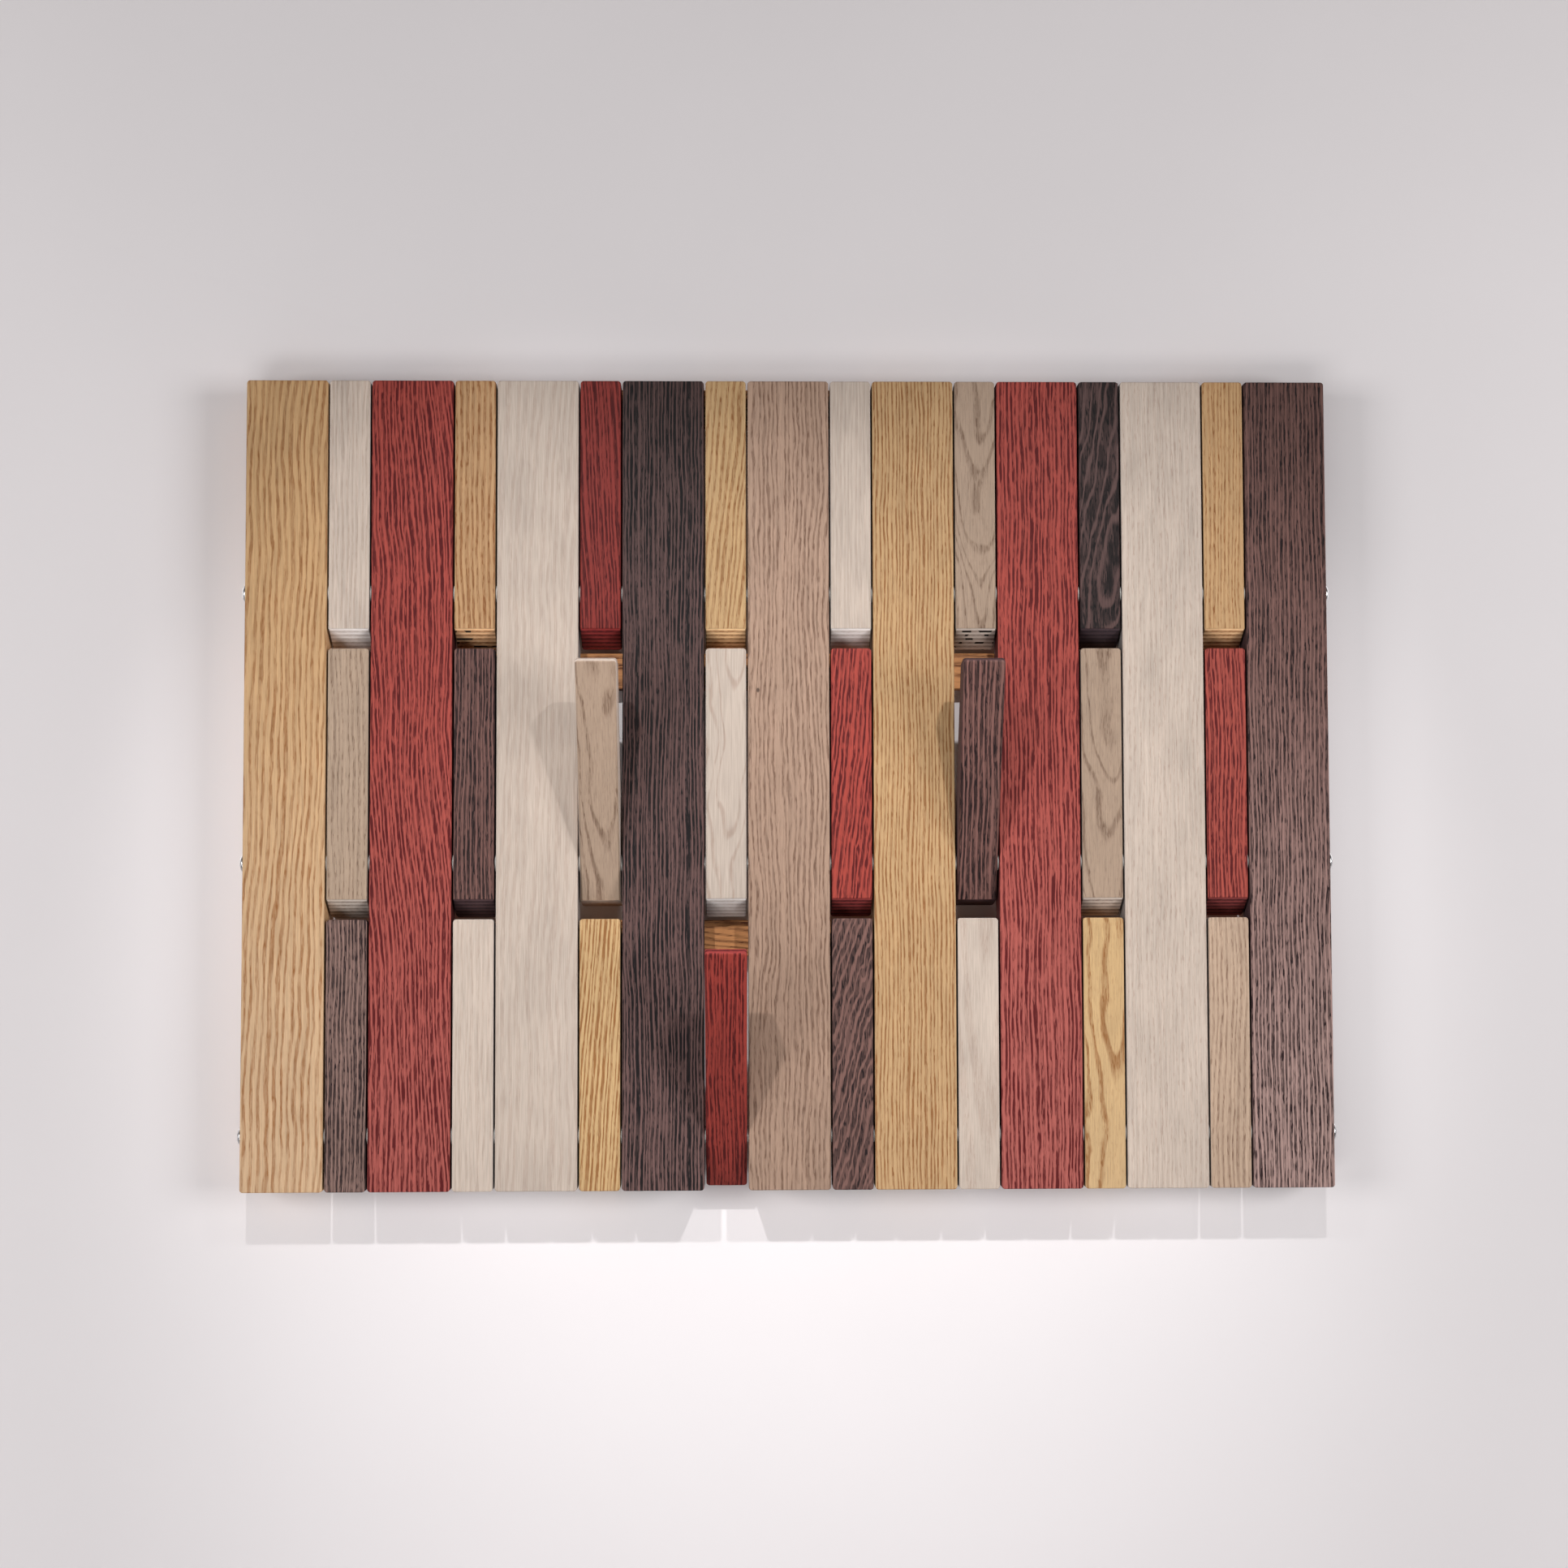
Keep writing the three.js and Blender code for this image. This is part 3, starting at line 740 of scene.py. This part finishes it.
def prism(sides, radius, start, end):
    """A prism along X, shaded as round where it has many sides."""
    bm = bmesh.new()
    near = circle(bm, start, radius, sides)
    far = [bm.verts.new((end, vert.co.y, vert.co.z)) for vert in near]
    for index in range(sides):
        after = (index + 1) % sides
        face = bm.faces.new((near[index], near[after], far[after], far[index]))
        face.smooth = sides >= ROUND_SIDES
    bm.faces.new(near)
    bm.faces.new(far)
    return bm


def block(low, high):
    """A box between two corners."""
    bm = bmesh.new()
    bmesh.ops.create_cube(bm, size=1)
    middle = (Vector(low) + Vector(high)) / 2
    size = Vector(high) - Vector(low)
    for vert in bm.verts:
        vert.co = middle + vert.co * size
    return bm


def carved(mesh, tool):
    """The mesh less the tool."""
    pair = [bpy.data.objects.new("carving", part) for part in (mesh, tool)]
    for part in pair:
        bpy.context.scene.collection.objects.link(part)
    change = pair[0].modifiers.new("carve", "BOOLEAN")
    change.object = pair[1]
    change.operation = "DIFFERENCE"
    change.solver = "EXACT"
    depsgraph = bpy.context.evaluated_depsgraph_get()
    result = bpy.data.meshes.new_from_object(pair[0].evaluated_get(depsgraph))
    for part in pair:
        bpy.data.objects.remove(part)
    return result


def shown(name, mesh, material, body, slot, replaces=(), place=(0, 0, 0)):
    """One piece of the visible model, in its place on its body."""
    piece = bpy.data.objects.new(name, mesh)
    bpy.context.scene.collection.objects.link(piece)
    piece.location = place
    mesh.materials.clear()
    mesh.materials.append(material)
    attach(piece, body)
    if replaces:
        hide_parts(*replaces)
    return piece


def joined(name, meshes_and_places):
    """Many meshes as one, each moved to its place by a matrix."""
    bm = bmesh.new()
    for mesh, matrix in meshes_and_places:
        moved = mesh.copy()
        moved.transform(matrix)
        bm.from_mesh(moved)
        bpy.data.meshes.remove(moved)
    return mesh_of(bm, name)


# Boards

pivots = {joint["child"]: Vector(joint["pos_m"]) for joint in frame["joints"]}
row_pivots = {row: pivots[f"key_{row}_1"] for row in ROWS}


def slat_blank():
    """A slat about the middle of its width, at the axles' depth and the middle of its height."""
    low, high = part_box("slat_1")
    middle = Vector(((low.x + high.x) / 2, row_pivots["top"].y, (low.z + high.z) / 2))
    low, high = low - middle, high - middle
    mesh = mesh_of(board(high.x - low.x, low.z, high.z, low.y, high.y), "slat")
    for row in ROWS:
        bore = mesh_of(prism(ROUND_SIDES, BORE_RADIUS, 2 * low.x, 2 * high.x), "bore")
        bore.transform(Matrix.Translation((0, 0, row_pivots[row].z - middle.z)))
        mesh = carved(mesh, bore)
    return mesh, middle, low.y, high.y


def key_blank(row, easing):
    """A key about its axle."""
    node = f"key_{row}_1"
    low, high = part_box(node)
    low, high = low - pivots[node], high - pivots[node]
    bm = board(high.x - low.x, low.z, high.z, low.y, high.y, easing=easing)
    flat_end = low.y + TOP_FLAT
    cut_away(bm, (0, flat_end, high.z), (0, TOP_RELIEF_DROP, high.y - flat_end))
    if row == "low":
        cut_away(bm, (0, high.y, low.z + HEEL_EASE), (0, 1, -1))
    else:
        bevel_end = high.y - HEEL_LAND
        cut_away(bm, (0, bevel_end, low.z), (0, -FINGER_BEVEL_RISE, low.y - bevel_end))
    bore = mesh_of(prism(ROUND_SIDES, BORE_RADIUS, 2 * low.x, 2 * high.x), "bore")
    return carved(mesh_of(bm, "key"), bore), low.y, high.y


def add_slats():
    """The slats. The first and the last show their outer sides, which get no painted gap shade."""
    mesh, middle, front, back = slat_blank()
    for number, values in enumerate(SLAT_LOOKS, 1):
        node = f"slat_{number}"
        low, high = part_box(node)
        place = ((low.x + high.x) / 2, middle.y, middle.z)
        half = (high.x - low.x) / 2 if 1 < number < SLAT_COUNT else NO_SIDES
        seed = SLAT_SEED + number
        material = oak_material(f"{node}_oak", values, seed, SLAT_RUB, front, back, half)
        shown(f"{node}_board", mesh.copy(), material, "frame", "oak_" + values["stain"], [node], place)


def add_keys():
    """The keys. Those that stand open at rest show their sides, which get no painted gap shade."""
    for row in ROWS:
        shut, front, back = key_blank(row, EDGE_EASING)
        tipped = key_blank(row, OPEN_KEY_EASING)[0]
        for number, values in enumerate(KEY_LOOKS[row], 1):
            node = f"key_{row}_{number}"
            tilt = OPEN_ANGLES.get(node, 0.0)
            low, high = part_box(node)
            half = NO_SIDES if tilt else (high.x - low.x) / 2
            seed = KEY_SEEDS[row] + number
            material = oak_material(f"{node}_oak", values, seed, KEY_RUB, front, back, half, tilt)
            key = tipped.copy() if tilt else shut.copy()
            key.transform(Matrix.Rotation(tilt, 4, "X"))
            shown(f"{node}_board", key, material, node, "oak_" + values["stain"], [node], pivots[node])


def finish_rails():
    """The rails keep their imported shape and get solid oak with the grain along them."""
    for number, row in enumerate(ROWS, 1):
        material = oak_material(f"rail_{row}_oak", RAIL_LOOK, RAIL_SEED + number, 0, 0, 0, along_x=True)
        rail = frame["nodes"][f"rail_{row}"]
        rail.data.materials.clear()
        rail.data.materials.append(material)


# Metal and nylon

def axle_mesh(half):
    """A rod with chamfered ends, tapped for the screws."""
    floor = half - TAPPED_DEPTH
    end = [(floor, 0), (floor, TAPPED_RADIUS), (half, TAPPED_RADIUS), (half, AXLE_RADIUS - AXLE_CHAMFER)]
    end.append((half - AXLE_CHAMFER, AXLE_RADIUS))
    mesh = mesh_of(turned([(-x, radius) for x, radius in end] + end[::-1]), "axle")
    mesh.set_sharp_from_angle(angle=SHARP_ANGLE)
    return mesh


def washer_mesh():
    """A thin ring about the axle, its outer edges eased."""
    half, ease = WASHER_THICKNESS / 2, WASHER_EASING
    profile = [(-half, WASHER_BORE), (half, WASHER_BORE), (half, WASHER_RADIUS - ease)]
    profile += [(half - ease, WASHER_RADIUS), (ease - half, WASHER_RADIUS), (-half, WASHER_RADIUS - ease)]
    mesh = mesh_of(turned(profile, FINE_SIDES, closed=True), "washer")
    mesh.set_sharp_from_angle(angle=SHARP_ANGLE)
    return mesh


def button_screw_mesh():
    """A domed screw along X, its head outside x = 0, with a hexagon socket."""
    tip = -BUTTON_SHANK_LENGTH
    profile = [(tip, 0), (tip, BUTTON_LEAD_RADIUS), (tip + BUTTON_LEAD, BUTTON_SHANK_RADIUS)]
    profile += [(0, BUTTON_SHANK_RADIUS), (0, BUTTON_RADIUS)]
    for step in range(DOME_STEPS):
        angle = step / DOME_STEPS * math.pi / 2
        rise = (BUTTON_HEIGHT - BUTTON_RIM) * math.sin(angle)
        profile.append((BUTTON_RIM + rise, BUTTON_RADIUS * math.cos(angle)))
    profile.append((BUTTON_HEIGHT, 0))
    dome = mesh_of(turned(profile, FINE_SIDES), "button_screw")
    socket = prism(6, HEX_ACROSS_FLATS / math.sqrt(3), BUTTON_HEIGHT - HEX_DEPTH, BUTTON_HEIGHT * 2)
    mesh = carved(dome, mesh_of(socket, "socket"))
    mesh.set_sharp_from_angle(angle=SHARP_ANGLE)
    return mesh


def countersunk_mesh(head, shank, sink, length, cross):
    """A screw along X whose flat head lies at x = 0 and whose tip lies at -length, with a cross recess."""
    profile = [(-length, 0), (SCREW_TIP - length, shank), (-sink, shank)]
    profile += [(-SCREW_RIM, head), (0, head), (0, 0)]
    mesh = mesh_of(turned(profile), "countersunk_screw")
    deepest = (-CROSS_DEPTH, -cross / 2, -CROSS_WIDTH / 2)
    outermost = (CROSS_CLEARANCE, cross / 2, CROSS_WIDTH / 2)
    for turn in (math.pi / 4, math.pi * 3 / 4):
        slot = mesh_of(block(deepest, outermost), "slot")
        slot.transform(Matrix.Rotation(turn, 4, "X"))
        mesh = carved(mesh, slot)
    mesh.set_sharp_from_angle(angle=SHARP_ANGLE)
    return mesh


OUT_OF_WALL = Matrix.Rotation(math.pi / 2, 4, "Z")


def add_axles(steel, nylon):
    """Each row's axle, the washers beside its keys and the screws in its ends."""
    low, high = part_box("slat_1")[0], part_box(f"slat_{SLAT_COUNT}")[1]
    key_low, key_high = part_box("key_top_1")
    slat_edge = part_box("slat_1")[1].x
    half_key = (key_high.x - key_low.x) / 2
    gap = key_low.x - slat_edge
    rod = axle_mesh(high.x - AXLE_END_INSET)
    washer = washer_mesh()
    screw = button_screw_mesh()
    for row in ROWS:
        pivot = row_pivots[row]
        axle = Vector((0, pivot.y, pivot.z))
        shown(f"axle_{row}_rod", rod.copy(), steel, "frame", "steel", [f"axle_{row}"], axle)
        middles = [pivots[f"key_{row}_{number}"].x for number in range(1, KEY_COLUMNS + 1)]
        places = [x + side * (half_key + gap / 2) for x in middles for side in (-1, 1)]
        washers = joined("washers", [(washer, Matrix.Translation((x, 0, 0))) for x in places])
        washers.set_sharp_from_angle(angle=SHARP_ANGLE)
        shown(f"washers_{row}", washers, nylon, "frame", "nylon", [], axle)
        for side, x in (("left", low.x), ("right", high.x)):
            node = f"axle_screw_{row}_{side}"
            head = screw.copy()
            if side == "left":
                head.transform(Matrix.Rotation(math.pi, 4, "Z"))
            shown(f"{node}_button", head, steel, "frame", "steel", [node], (x, pivot.y, pivot.z))


def add_slat_screws(zinc):
    """Three screws behind each slat, each row's joined into one piece."""
    screw = countersunk_mesh(**SLAT_SCREW)
    for number, row in enumerate(ROWS):
        low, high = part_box(f"rail_{row}")
        offset = SLAT_SCREW_OFFSET if number % 2 == 0 else -SLAT_SCREW_OFFSET
        parts = []
        for slat in range(1, SLAT_COUNT + 1):
            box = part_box(f"slat_{slat}")
            x = (box[0].x + box[1].x) / 2 + offset
            spin = Matrix.Rotation(slat * SCREW_SPIN + number, 4, "X")
            parts.append((screw, Matrix.Translation((x, 0, 0)) @ OUT_OF_WALL @ spin))
        mesh = joined("slat_screws", parts)
        mesh.set_sharp_from_angle(angle=SHARP_ANGLE)
        shown(f"slat_screws_{row}", mesh, zinc, "frame", "zinc", [], (0, high.y, (low.z + high.z) / 2))


def hanger_mesh(low, high):
    """A plate with a keyhole and two countersunk holes, about its own foot and its back face."""
    width, height, thickness = high.x - low.x, high.z - low.z, high.y - low.y
    plate = mesh_of(board(width, 0, height, -thickness, 0, PLATE_CORNER, PLATE_EASING), "plate")
    neck_top = ENTRY_FROM_FOOT + NECK_RISE
    reach = 4 * thickness
    sink_reach = reach / 2
    tools = []
    for radius, z in ((ENTRY_RADIUS, ENTRY_FROM_FOOT), (NECK_RADIUS, neck_top)):
        hole = mesh_of(prism(FINE_SIDES, radius, -reach, reach), "hole")
        tools.append((hole, Matrix.Translation((0, 0, z)) @ OUT_OF_WALL))
    neck = block((-NECK_RADIUS, -reach, ENTRY_FROM_FOOT), (NECK_RADIUS, reach, neck_top))
    tools.append((mesh_of(neck, "neck"), Matrix.Identity(4)))
    wide = PLATE_SCREW["head"] + SINK_CLEARANCE
    narrow = PLATE_SCREW["shank"] + SINK_CLEARANCE
    cone = [(-sink_reach, 0), (-sink_reach, narrow), (-PLATE_SCREW["sink"], narrow)]
    cone += [(0, wide), (sink_reach, wide), (sink_reach, 0)]
    for node in ("hanger_screw_left_upper", "hanger_screw_left_lower"):
        screw_low, screw_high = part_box(node)
        place = Matrix.Translation((0, 0, (screw_low.z + screw_high.z) / 2 - low.z))
        tools.append((mesh_of(turned(cone, FINE_SIDES), "sink"), place @ OUT_OF_WALL))
    for tool, matrix in tools:
        tool.transform(matrix)
        plate = carved(plate, tool)
    plate.set_sharp_from_angle(angle=SHARP_ANGLE)
    return plate


def add_hangers(zinc):
    """The two keyhole plates and their screws."""
    plate = hanger_mesh(*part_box("hanger_plate_left"))
    screw = countersunk_mesh(**PLATE_SCREW)
    for side in ("left", "right"):
        node = f"hanger_plate_{side}"
        low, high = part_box(node)
        place = ((low.x + high.x) / 2, high.y, low.z)
        shown(f"{node}_pressed", plate.copy(), zinc, "frame", "zinc", [node], place)
        for level in ("upper", "lower"):
            node = f"hanger_screw_{side}_{level}"
            low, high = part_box(node)
            head = screw.copy()
            head.transform(OUT_OF_WALL)
            place = ((low.x + high.x) / 2, high.y, (low.z + high.z) / 2)
            shown(f"{node}_cross", head, zinc, "frame", "zinc", [node], place)


# Room, lights and camera

ROOM_HALF = 3.0
WALL_TOP = 1.6
FLOOR_LEVEL = -1.8
WALL_GAP = 0.2 * MM


def sheet_object(name, corners, material):
    """A flat sheet of the room."""
    mesh = bpy.data.meshes.new(name)
    mesh.from_pydata(corners, [], [range(len(corners))])
    obj = bpy.data.objects.new(name, mesh)
    bpy.context.scene.collection.objects.link(obj)
    mesh.materials.append(material)
    return obj


def paint_material(name, colour):
    """Matt paint with the faint unevenness of a rolled coat."""
    material, graph, shader = new_material(name)
    clouds = graph.noise(graph.shade(graph.object_place(), PAINT_CLOUDS), 3.0)
    tone = graph.smooth(clouds, *CLOUD_RANGE, *PAINT_TONES)
    graph.feed(shader.inputs["Base Color"], graph.shade(colour, tone))
    shader.inputs["Roughness"].default_value = PAINT_ROUGHNESS
    shader.inputs["Specular IOR Level"].default_value = PAINT_GLOSS
    return material


def one_sided(material):
    """The paint shows only from the room, so that the rack's back can be seen too."""
    graph = Graph(material.node_tree)
    output = material.node_tree.nodes["Material Output"]
    choice = graph.add("MixShader")
    graph.feed(choice.inputs[0], graph.add("NewGeometry").outputs["Backfacing"])
    graph.feed(choice.inputs[1], material.node_tree.nodes["Principled BSDF"].outputs[0])
    graph.feed(choice.inputs[2], graph.add("BsdfTransparent").outputs[0])
    graph.feed(output.inputs["Surface"], choice.outputs[0])
    return material


def add_room():
    """The wall and the floor. Returns the wall."""
    left, right, low, high = -ROOM_HALF, ROOM_HALF, FLOOR_LEVEL, WALL_TOP
    wall_corners = [(left, WALL_GAP, low), (right, WALL_GAP, low)]
    wall_corners += [(right, WALL_GAP, high), (left, WALL_GAP, high)]
    floor_corners = [(left, -ROOM_HALF, low), (right, -ROOM_HALF, low)]
    floor_corners += [(right, ROOM_HALF, low), (left, ROOM_HALF, low)]
    wall = sheet_object("wall", wall_corners, one_sided(paint_material("wall_paint", WALL_PAINT)))
    sheet_object("floor", floor_corners, paint_material("floor_paint", FLOOR_PAINT))
    return wall


# Lights. Those that stand in pairs are given for the right-hand side.
SIDES = {"left": -1, "right": 1}
SOFT_PLACE = (1.35, -1.2, -0.17)
SOFT_SIZE = (0.7, 0.7)
SOFT_POWERS = {"left": 12.5, "right": 15.5}
LAMP_PLACE = (0.25, -0.65, 0.27)
LAMP_AIM = (0.08, 0, -0.3)
LAMP_RADIUS = 0.012
LAMP_CONE = math.radians(46)
LAMP_POWERS = {"left": 14, "right": 13.5}
BACK_PLACE = (1.2, 1.3, 0.3)
BACK_SIZE = (1.0, 1.0)
BACK_POWER = 4
LOW_PLACE = (-0.45, -2.0, -1.4)
LOW_SIZE = (1.7, 0.6)
LOW_POWER = 13.5
SKY_COLOUR = (1.0, 0.955, 0.955, 1)
SKY_STRENGTH = 0.05


def on_side(side, place):
    """A place on the right-hand side, or its mirror image on the left."""
    x, y, z = place
    return (SIDES[side] * x, y, z)


def placed_light(name, data, place, aim):
    """A lamp that the camera doesn't see, turned to its aim."""
    lamp = bpy.data.objects.new(name, data)
    bpy.context.scene.collection.objects.link(lamp)
    lamp.location = place
    lamp.rotation_euler = (Vector(aim) - Vector(place)).to_track_quat("-Z", "Y").to_euler()
    lamp.visible_camera = False
    return lamp


def area_light(name, place, aim, size, power):
    data = bpy.data.lights.new(name, "AREA")
    data.shape = "RECTANGLE"
    data.size, data.size_y = size
    data.energy = power
    return placed_light(name, data, place, aim)


def spot_lamp(name, place, aim, power):
    """A small lamp whose cone fades evenly to its edge."""
    data = bpy.data.lights.new(name, "SPOT")
    data.energy = power
    data.shadow_soft_size = LAMP_RADIUS
    data.spot_size = LAMP_CONE
    data.spot_blend = 1
    return placed_light(name, data, place, aim)


def shine_through(lamp, obj):
    """Lets the lamp's light pass one object."""
    passed = bpy.data.collections.new(lamp.name + "_passes")
    passed.objects.link(obj)
    lamp.light_linking.blocker_collection = passed
    for item in passed.collection_objects:
        item.light_linking.link_state = "EXCLUDE"


def add_lights(wall):
    """Soft light from both sides and from below, two small lamps above the rack, and light for the back."""
    middle = (cad_box[0] + cad_box[1]) / 2
    for side in SIDES:
        area_light(f"soft_{side}", on_side(side, SOFT_PLACE), middle, SOFT_SIZE, SOFT_POWERS[side])
        spot_lamp(f"lamp_{side}", on_side(side, LAMP_PLACE), on_side(side, LAMP_AIM), LAMP_POWERS[side])
        back = area_light(f"back_{side}", on_side(side, BACK_PLACE), middle, BACK_SIZE, BACK_POWER)
        shine_through(back, wall)
    area_light("low", LOW_PLACE, middle, LOW_SIZE, LOW_POWER)
    world = bpy.data.worlds.new("room_light")
    bpy.context.scene.world = world
    world.use_nodes = True
    sky = world.node_tree.nodes["Background"]
    sky.inputs["Color"].default_value = SKY_COLOUR
    sky.inputs["Strength"].default_value = SKY_STRENGTH


# The view that the photograph shows. Angles are in degrees, the lens and its sensor in millimetres.
CAMERA_PLACE = (-0.0288, -1.2665, -0.277)
CAMERA_PITCH = 2.92
CAMERA_ROLL = 0.15
CAMERA_YAW = -1.2
CAMERA_LENS = 51.54
CAMERA_SENSOR = 36


def add_camera():
    data = bpy.data.cameras.new("camera")
    data.sensor_width = CAMERA_SENSOR
    data.lens = CAMERA_LENS
    camera = bpy.data.objects.new("camera", data)
    bpy.context.scene.collection.objects.link(camera)
    camera.location = CAMERA_PLACE
    turns = (90 + CAMERA_PITCH, CAMERA_ROLL, CAMERA_YAW)
    camera.rotation_euler = [math.radians(turn) for turn in turns]
    bpy.context.scene.camera = camera


steel = metal_material("steel", STEEL, STEEL_ROUGHNESS, scratch_along=0)
zinc = metal_material("zinc", ZINC, ZINC_ROUGHNESS, scratch_along=2)
add_slats()
add_keys()
finish_rails()
add_axles(steel, nylon_material())
add_slat_screws(zinc)
add_hangers(zinc)
add_lights(add_room())
add_camera()
bpy.context.scene.view_settings.view_transform = "Standard"
